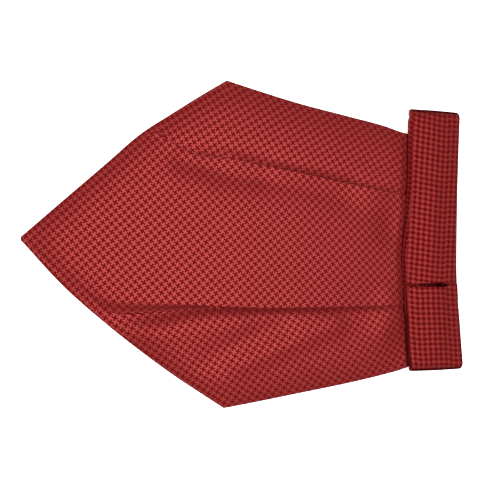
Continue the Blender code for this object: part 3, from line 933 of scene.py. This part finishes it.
class NodeTree:
    """A new material's nodes, laid out from left to right, with its shader joined to its output."""

    def __init__(self, name):
        self.material = bpy.data.materials.new(name)
        self.material.use_nodes = True
        self.tree = self.material.node_tree
        self.tree.nodes.clear()
        self.column = 0
        output = self.add("ShaderNodeOutputMaterial")
        self.shader = self.add("ShaderNodeBsdfPrincipled")
        self.value(output.inputs["Surface"], self.shader.outputs["BSDF"])

    def add(self, kind, label="", **settings):
        node = self.tree.nodes.new(kind)
        node.label = label
        for name, value in settings.items():
            setattr(node, name, value)
        node.location = (180 * self.column, -160 * (len(self.tree.nodes) % 6))
        self.column += 1
        return node

    def value(self, socket, given):
        if isinstance(given, (int, float, tuple)):
            socket.default_value = given
        else:
            self.tree.links.new(given, socket)

    def values(self, node, given):
        for name, item in given.items():
            self.value(node.inputs[name], item)

    def math(self, operation, first, second=0.0, third=0.0, label="", clamp=False):
        node = self.add("ShaderNodeMath", label, operation=operation, use_clamp=clamp)
        for socket, given in zip(node.inputs, (first, second, third)):
            self.value(socket, given)
        return node.outputs[0]

    def mix(self, share, first, second, label, kind="RGBA"):
        node = self.add("ShaderNodeMix", label, data_type=kind)
        self.values(node, {"Factor": share, "A": first, "B": second})
        return node.outputs["Result"]

    def scale(self, colour, amount, label=""):
        node = self.add("ShaderNodeVectorMath", label, operation="SCALE")
        self.value(node.inputs[0], colour)
        self.value(node.inputs["Scale"], amount)
        return node.outputs["Vector"]


def yarn_turn(nodes, place):
    """The middle of the yarn that a place falls on, as an angle of a full turn a repeat."""
    yarn = nodes.math("FLOOR", nodes.math("MULTIPLY", place, YARNS_PER_REPEAT))
    middle = nodes.math("DIVIDE", nodes.math("ADD", yarn, 0.5), YARNS_PER_REPEAT)
    return nodes.math("MULTIPLY", middle, 2 * math.pi)


def star_check(nodes, u, v, ragged, hooks, crisp, even):
    """1 on the light stars and 0 between them: a small houndstooth, stepped from yarn to yarn."""
    turn_u, turn_v = yarn_turn(nodes, u), yarn_turn(nodes, v)
    cos_u, cos_v = nodes.math("COSINE", turn_u), nodes.math("COSINE", turn_v)
    sin_u, sin_v = nodes.math("SINE", turn_u), nodes.math("SINE", turn_v)
    squares = nodes.math("MULTIPLY_ADD", cos_v, even, cos_u, label="squares")
    arms = nodes.math("SUBTRACT", cos_v, cos_u)
    arms = nodes.math("MULTIPLY", nodes.math("MULTIPLY", sin_u, sin_v), arms)
    star = nodes.math("MULTIPLY_ADD", arms, hooks, squares, label="star")
    star = nodes.math("MULTIPLY_ADD", nodes.math("SUBTRACT", ragged, 0.5), RAGGED, star)
    return nodes.math("MULTIPLY_ADD", star, crisp, 0.5, label="light or dark", clamp=True)


def cloth_noise(nodes, place, label, scale, detail):
    noise = nodes.add("ShaderNodeTexNoise", label, noise_dimensions="2D")
    nodes.values(noise, {"Vector": place, "Scale": scale, "Detail": detail})
    return noise.outputs["Fac"]


def uneven(nodes, noise, depth):
    """A factor near 1 that varies by so much with a noise."""
    return nodes.math("MULTIPLY_ADD", noise, depth, 1 - depth / 2)


def yarn_ribs(nodes, u, v, star):
    """Yarns stand up as small ribs: across in the stars and along between them."""
    rib_u, rib_v = (
        nodes.math("ABSOLUTE", nodes.math("SINE", nodes.math("MULTIPLY", at, math.pi * YARNS_PER_REPEAT)))
        for at in (u, v))
    height = nodes.math("MULTIPLY_ADD", star, 0.5, nodes.mix(star, rib_u, rib_v, "ribs", kind="FLOAT"))
    bump = nodes.add("ShaderNodeBump", "weave")
    nodes.values(bump, {"Strength": RIB_STRENGTH, "Distance": RIB_HEIGHT, "Height": height})
    return bump.outputs["Normal"]


def silk_material(name, colours, shade, roughness, face=True, hooks=3.2, crisp=1.05, tint=0.15, polish=1.0,
                  even=0.7):
    """Woven silk with the star check, which is fainter on its reverse."""
    nodes = NodeTree(name)
    place = nodes.add("ShaderNodeUVMap", "cloth", uv_map="cloth").outputs["UV"]
    parts = nodes.add("ShaderNodeSeparateXYZ")
    nodes.values(parts, {"Vector": place})
    u, v = parts.outputs["X"], parts.outputs["Y"]
    # Yarns differ a little in depth of colour, stars in their edges, and the dye clouds softly.
    streak = cloth_noise(nodes, place, "yarn streaks", STREAK_SCALE, 4.0)
    star = star_check(nodes, u, v, streak, hooks, crisp, even)
    cloud = cloth_noise(nodes, place, "dye clouds", CLOUD_SCALE, 2.0)
    vary = uneven(nodes, streak, STREAK_DEPTH)
    vary = nodes.math("MULTIPLY", vary, uneven(nodes, cloud, CLOUD_DEPTH))

    # shade scales the yarns' colours. Except on the reverse, a shade below 1 is painted shade and a shade
    # above 1 is painted light.
    light = [c * shade for c in colours.light_yarn]
    dark = [c * shade for c in colours.dark_yarn]
    if not face:
        dark = [blend(d, c, REVERSE_BLEED) for c, d in zip(light, dark)]
    checked = nodes.mix(star, (*dark, 1.0), (*light, 1.0), "yarn colours")
    nodes.values(nodes.shader, {
        "Base Color": nodes.scale(checked, vary, "depth of colour"),
        "Normal": yarn_ribs(nodes, u, v, star),
        "Roughness": nodes.math("MULTIPLY_ADD", star, roughness - DARK_ROUGHNESS, DARK_ROUGHNESS),
        "Specular IOR Level": SPECULAR * polish,
        "Specular Tint": (1.0, tint, tint, 1.0),
        "Sheen Weight": SHEEN * polish,
        "Sheen Roughness": 0.45,
        "Sheen Tint": (1.0, 0.1, 0.1, 1.0),
    })
    return nodes.material


def blade_silks(colours):
    return [
        silk_material("blade_silk", colours, shade=1.0, roughness=0.46),
        silk_material("blade_silk_reverse", colours, shade=0.8, roughness=0.6, face=False),
        silk_material("blade_silk_rim", colours, shade=0.6, roughness=0.9, polish=0.0),
    ]


def band_silks(colours):
    return [
        # The band's face silk is darkened by its shade setting: painted shade.
        silk_material("band_silk", colours, colours.band_shade, roughness=0.53, tint=0.1, **PRESSED_STARS),
        silk_material("band_silk_reverse", colours, shade=0.6, roughness=0.6, face=False),
        silk_material("band_silk_inside", colours, shade=0.3, roughness=0.9, face=False, polish=0.0),
        silk_material("band_silk_turned", colours, shade=1.4, roughness=0.8, polish=0.15, **PRESSED_STARS),
        silk_material("band_silk_rim", colours, shade=0.45, roughness=0.9, polish=0.0),
        silk_material("band_silk_shaded", colours, shade=0.85, roughness=0.8, polish=0.05, **PRESSED_STARS),
    ]


def floor_material(colour):
    """Matt white card with a very faint unevenness. It glows by itself: painted light that whitens the
    shadows on it.
    """
    nodes = NodeTree("studio_card")
    place = nodes.add("ShaderNodeTexCoord")
    tooth = nodes.add("ShaderNodeTexNoise", "paper tooth")
    nodes.values(tooth, {"Vector": place.outputs["Object"], "Scale": TOOTH_SCALE})
    shade = nodes.math("MULTIPLY_ADD", tooth.outputs["Fac"], TOOTH_DEPTH, 1 - TOOTH_DEPTH)
    nodes.values(nodes.shader, {
        "Base Color": nodes.scale(tuple(colour), shade),
        "Roughness": 0.9,
        "Specular IOR Level": 0.1,
        "Emission Color": (1.0, 1.0, 1.0, 1.0),
        "Emission Strength": CARD_GLOW,
    })
    return nodes.material


def add_floor(looks):
    mesh = bpy.data.meshes.new("floor")
    corners = [(x * FLOOR_HALF, y * FLOOR_HALF, 0) for x, y in ((-1, -1), (1, -1), (1, 1), (-1, 1))]
    mesh.from_pydata(corners, [], [(0, 1, 2, 3)])
    mesh.materials.append(floor_material(looks.floor_colour))
    floor = put_in_scene("floor", mesh)
    floor.location.z = -FLOOR_BELOW


def add_lamp(lamp, power):
    light = bpy.data.lights.new(lamp.name, "AREA")
    light.size = lamp.size
    light.energy = power
    stand = put_in_scene(lamp.name, light)
    stand.location = lamp.place
    stand.rotation_euler = (lamp.aim - lamp.place).to_track_quat("-Z", "Y").to_euler()


def add_world(strength):
    world = bpy.data.worlds.new("studio")
    world.use_nodes = True
    background = world.node_tree.nodes["Background"]
    background.inputs["Color"].default_value = (1.0, 0.99, 0.98, 1.0)
    background.inputs["Strength"].default_value = strength
    bpy.context.scene.world = world


def add_camera():
    lens = bpy.data.cameras.new("camera")
    lens.sensor_fit = "HORIZONTAL"
    lens.sensor_width = SENSOR
    lens.lens = SENSOR * CAMERA_DISTANCE / CAMERA_FIELD
    lens.clip_start = 0.01
    camera = put_in_scene("camera", lens)
    sine, cosine = math.sin(CAMERA_ELEVATION), math.cos(CAMERA_ELEVATION)
    turn = Matrix(((sine, 0, -cosine), (0, 1, 0), (cosine, 0, sine)))
    place = CAMERA_TARGET + CAMERA_DISTANCE * Vector((-cosine, 0, sine))
    camera.matrix_world = Matrix.Translation(place) @ turn.to_4x4()
    bpy.context.scene.camera = camera


class CravatSizes(PropertyGroup):
    thickness: FloatProperty(
        name="Cloth thickness", description="Thickness of the silk with its interlining",
        default=0.0004, unit="LENGTH")
    hem: FloatProperty(
        name="Hem", description="Width of the hem turned under the blade's edges",
        default=0.012, unit="LENGTH")
    blade_repeat: FloatVectorProperty(
        name="Repeat", description="Height and width of one repeat of the check",
        default=(0.0027, 0.00309), size=2, unit="LENGTH")
    band_repeat: FloatVectorProperty(
        name="Repeat on the band", description="Height and width of one repeat on the pressed neckband",
        default=(0.00264, 0.00294), size=2, unit="LENGTH")


class CravatColours(PropertyGroup):
    light_yarn: FloatVectorProperty(
        name="Light yarn", description="Colour of the stars",
        default=(0.12, 0.012, 0.012), subtype="COLOR")
    dark_yarn: FloatVectorProperty(
        name="Dark yarn", description="Colour between the stars",
        default=(0.07, 0.0002, 0.0002), subtype="COLOR")
    # Painted shade: the neckband's silk is drawn darker than the blade's, standing in for the weaker light
    # and sheen on it.
    band_shade: FloatProperty(
        name="Band shade", description="Depth of colour of the neckband's silk",
        default=0.75, min=0.0, max=1.0, subtype="FACTOR")


class StudioLooks(PropertyGroup):
    floor_colour: FloatVectorProperty(
        name="Floor", description="Colour of the studio floor",
        default=(0.9, 0.9, 0.9), subtype="COLOR")
    key_power: FloatProperty(
        name="Key light", description="Power of the large soft light",
        default=19.8, subtype="POWER")
    fill_power: FloatProperty(
        name="Fill light", description="Power of the low light beyond the tip",
        default=6.0, subtype="POWER")
    ambient: FloatProperty(
        name="Ambient", description="Strength of the even light from all round", default=0.4)


class CRAVAT_OT_blade(Operator):
    """Lay the pleated blade: one bias-cut piece of silk with its hem turned under"""
    bl_idname = "cravat.blade"
    bl_label = "Blade"

    def execute(self, context):
        sizes = context.scene.cravat_sizes
        silks = blade_silks(context.scene.cravat_colours)
        mesh = blade_mesh(sizes)
        # Steep faces, on the blade's rims and in its creases, take the darker rim silk: painted shade.
        for polygon in mesh.polygons:
            if abs(polygon.normal.z) < STEEP:
                polygon.material_index = BLADE_PAINTED_SHADE
        blade = add_piece("blade_cloth", mesh, silks)
        thicken(blade, sizes.thickness)
        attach(blade, "root")
        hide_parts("blade")
        return {"FINISHED"}


class CRAVAT_OT_neckband(Operator):
    """Lay the neckband's two showing stretches, with the slit between them"""
    bl_idname = "cravat.neckband"
    bl_label = "Neckband"

    def execute(self, context):
        sizes = context.scene.cravat_sizes
        silks = band_silks(context.scene.cravat_colours)
        upper, lower = upper_stretch_mesh(sizes), lower_stretch_mesh(sizes)
        # The strap's left side takes a lighter silk as painted light; its other rims a darker silk as
        # painted shade.
        mark_rims(upper)
        mark_rims(lower)
        # The slit's mouth takes a near-black silk: painted shade.
        shade_slit_mouth(upper)
        for name, mesh, node, flat in (("band_upper_cloth", upper, "neckband_upper", (0.064, 0.103)),
                                       ("band_lower_cloth", lower, "neckband_lower", (0.064, 0.051))):
            stretch = add_piece(name, mesh, silks)
            thicken(stretch, sizes.thickness)
            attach(stretch, "root")
            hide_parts(node)
        return {"FINISHED"}


class CRAVAT_OT_folds(Operator):
    """Stack the neckband's hidden layers under its showing stretches"""
    bl_idname = "cravat.folds"
    bl_label = "Folded layers"

    def execute(self, context):
        # The hidden layers' silk is drawn darker: painted shade for the shadow they lie in.
        silk = silk_material("tucked_silk", context.scene.cravat_colours, shade=0.6, roughness=0.6)
        folds = add_piece("band_folds_cloth", folds_mesh(context.scene.cravat_sizes), [silk])
        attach(folds, "root")
        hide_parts("neckband_folds")
        return {"FINISHED"}


class CRAVAT_OT_stage(Operator):
    """Set the pale floor, the soft lights and the camera"""
    bl_idname = "cravat.stage"
    bl_label = "Studio"

    def execute(self, context):
        looks = context.scene.cravat_studio
        add_floor(looks)
        add_lamp(KEY_LAMP, looks.key_power)
        add_lamp(FILL_LAMP, looks.fill_power)
        add_world(looks.ambient)
        add_camera()
        context.scene.view_settings.view_transform = "Standard"
        return {"FINISHED"}


class CRAVAT_PT_build(Panel):
    """Lists the cravat's pieces and their settings"""
    bl_idname = "CRAVAT_PT_build"
    bl_label = "Silk Cravat"
    bl_space_type = "VIEW_3D"
    bl_region_type = "UI"
    bl_category = "Cravat"

    def draw(self, context):
        for operator in OPERATORS:
            self.layout.operator(operator.bl_idname)
        for name in SETTINGS:
            settings = getattr(context.scene, name)
            box = self.layout.box()
            for item in settings.__annotations__:
                box.prop(settings, item)


SETTINGS = {"cravat_sizes": CravatSizes, "cravat_colours": CravatColours, "cravat_studio": StudioLooks}
OPERATORS = (CRAVAT_OT_blade, CRAVAT_OT_neckband, CRAVAT_OT_folds, CRAVAT_OT_stage)
CLASSES = (*SETTINGS.values(), *OPERATORS, CRAVAT_PT_build)


def register():
    for item in CLASSES:
        bpy.utils.register_class(item)
    for name, group in SETTINGS.items():
        setattr(bpy.types.Scene, name, PointerProperty(type=group))


def unregister():
    for name in SETTINGS:
        delattr(bpy.types.Scene, name)
    for item in reversed(CLASSES):
        bpy.utils.unregister_class(item)


def main():
    register()
    bpy.ops.cravat.blade()
    bpy.ops.cravat.neckband()
    bpy.ops.cravat.folds()
    bpy.ops.cravat.stage()


if __name__ == "__main__":
    main()
